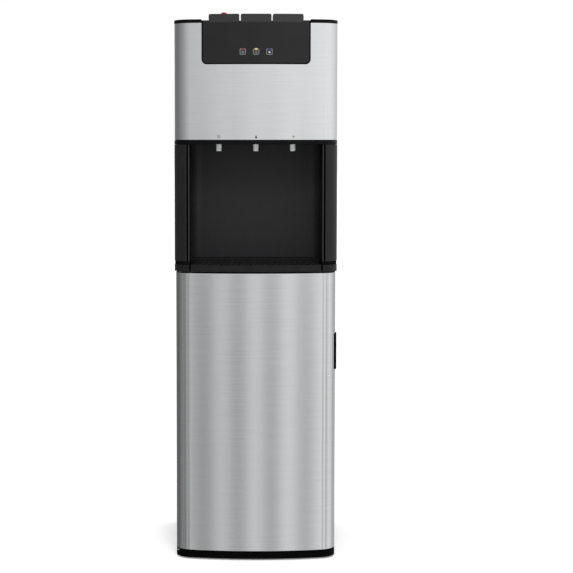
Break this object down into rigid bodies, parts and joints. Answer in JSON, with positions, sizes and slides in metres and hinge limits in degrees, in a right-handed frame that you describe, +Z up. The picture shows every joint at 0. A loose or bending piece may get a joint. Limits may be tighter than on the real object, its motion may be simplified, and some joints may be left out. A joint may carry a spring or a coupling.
{
  "type": "bottom load water cooler",
  "caption": "Floor-standing water cooler with a bottle cabinet behind a steel door, a dispensing alcove with a drip tray, and push buttons on top.",
  "frame": {"origin": "on the floor, below the middle of the casing", "axes": "+Z up; the front with its door, alcove and buttons faces -Y; +X is to the right of someone facing the front"},
  "size_m": [0.31, 0.36, 1.04],
  "materials": {
    "brushed_steel": "finely brushed stainless steel, horizontal grain",
    "plain_steel": "plain rolled steel",
    "black_sheet": "black powder-coated steel sheet, fine texture",
    "grey_sheet": "galvanised steel sheet",
    "gloss_black": "glossy black moulding",
    "satin_black": "satin black moulding",
    "pale_grey": "light grey plastic",
    "white_plastic": "white plastic",
    "rubber": "black rubber",
    "red_plastic": "dark red plastic",
    "board": "green circuit board",
    "tank_foam": "cast insulating foam round the tank",
    "tank_metal": "metal tank, plain",
    "red_lens": "indicator lens with a red lamp",
    "amber_lens": "indicator lens with a yellow lamp",
    "blue_lens": "indicator lens with a blue lamp",
    "hose": "milky silicone hose"
  },
  "bodies": {
    "cooler": {"foot_front_left": "rubber", "foot_front_right": "rubber", "foot_rear_left": "rubber", "foot_rear_right": "rubber", "base_plinth": "satin_black", "lower_hinge_bracket": "plain_steel", "upper_hinge_bracket": "plain_steel", "left_side_panel": "black_sheet", "right_side_panel": "black_sheet", "bottle_floor": "grey_sheet", "mid_deck": "grey_sheet", "rear_panel_lower": "black_sheet", "rear_panel_upper": "black_sheet", "tray_surround": "satin_black", "alcove_liner": "satin_black", "left_pillar": "gloss_black", "right_pillar": "gloss_black", "shoulder_trim": "gloss_black", "hot_nozzle": "pale_grey", "hot_valve": "white_plastic", "normal_nozzle": "pale_grey", "normal_valve": "white_plastic", "cold_nozzle": "pale_grey", "cold_valve": "white_plastic", "upper_front_panel": "brushed_steel", "front_housing": "satin_black", "control_panel": "gloss_black", "indicator_hot": "red_lens", "indicator_normal": "amber_lens", "indicator_cold": "blue_lens", "control_board": "board", "top_cap": "satin_black", "button_rod": "plain_steel", "tank_shelf": "grey_sheet", "cold_tank": "tank_foam", "hot_tank": "tank_metal", "compressor": "black_sheet", "condenser_coil": "black_sheet", "water_pump": "satin_black", "suction_hose": "hose", "probe_collar": "white_plastic", "probe_tube": "plain_steel", "probe_clip": "satin_black", "drain_spigot": "white_plastic", "cord_gland": "rubber", "switch_plate": "satin_black"},
    "door": {"door_skin": "brushed_steel", "door_inner_panel": "satin_black", "door_gasket": "rubber", "door_handle": "satin_black"},
    "tray": {"drip_tray": "satin_black"},
    "grille": {"drip_grille": "satin_black"},
    "button_hot": {"hot_button": "gloss_black"},
    "button_normal": {"normal_button": "gloss_black"},
    "button_cold": {"cold_button": "gloss_black"},
    "lock": {"child_lock": "red_plastic"},
    "switch_hot": {"rocker_hot": "red_plastic"},
    "switch_cold": {"rocker_cold": "gloss_black"},
    "switch_light": {"rocker_light": "gloss_black"},
    "drain_closure": {"drain_cap": "satin_black"}
  },
  "joints": [
    {"name": "door_swing", "type": "hinge", "parent": "cooler", "child": "door", "pos_m": [-0.144, -0.138, 0.28], "axis": [0, 0, -1], "range_deg": [0, 110]},
    {"name": "tray_slide", "type": "slide", "parent": "cooler", "child": "tray", "axis": [0, -1, 0], "range_m": [0, 0.13]},
    {"name": "grille_lift", "type": "slide", "parent": "tray", "child": "grille", "axis": [0, 0, 1], "range_m": [0, 0.04]},
    {"name": "hot_press", "type": "hinge", "parent": "cooler", "child": "button_hot", "pos_m": [0, -0.137, 1.0207], "axis": [1, 0, 0], "range_deg": [0, 4.5], "stiffness_Nm_per_rad": 1.5, "springref_deg": -2.86},
    {"name": "normal_press", "type": "hinge", "parent": "cooler", "child": "button_normal", "pos_m": [0, -0.137, 1.0207], "axis": [1, 0, 0], "range_deg": [0, 4.5], "stiffness_Nm_per_rad": 1.5, "springref_deg": -2.86},
    {"name": "cold_press", "type": "hinge", "parent": "cooler", "child": "button_cold", "pos_m": [0, -0.137, 1.0207], "axis": [1, 0, 0], "range_deg": [0, 4.5], "stiffness_Nm_per_rad": 1.5, "springref_deg": -2.86},
    {"name": "lock_slide", "type": "slide", "parent": "button_hot", "child": "lock", "axis": [0, 1, 0], "range_m": [0, 0.004], "stiffness_N_per_m": 200, "springref_m": -0.002},
    {"name": "hot_switch", "type": "hinge", "parent": "cooler", "child": "switch_hot", "pos_m": [0.035, 0.1477, 0.9899], "axis": [1, 0, 0], "range_deg": [0, 16]},
    {"name": "cold_switch", "type": "hinge", "parent": "cooler", "child": "switch_cold", "pos_m": [0.06, 0.1477, 0.9899], "axis": [1, 0, 0], "range_deg": [0, 16]},
    {"name": "light_switch", "type": "hinge", "parent": "cooler", "child": "switch_light", "pos_m": [0.085, 0.1477, 0.9899], "axis": [1, 0, 0], "range_deg": [0, 16]},
    {"name": "drain_cap_off", "type": "slide", "parent": "cooler", "child": "drain_closure", "axis": [0, 1, 0], "range_m": [0, 0.03]}
  ]
}
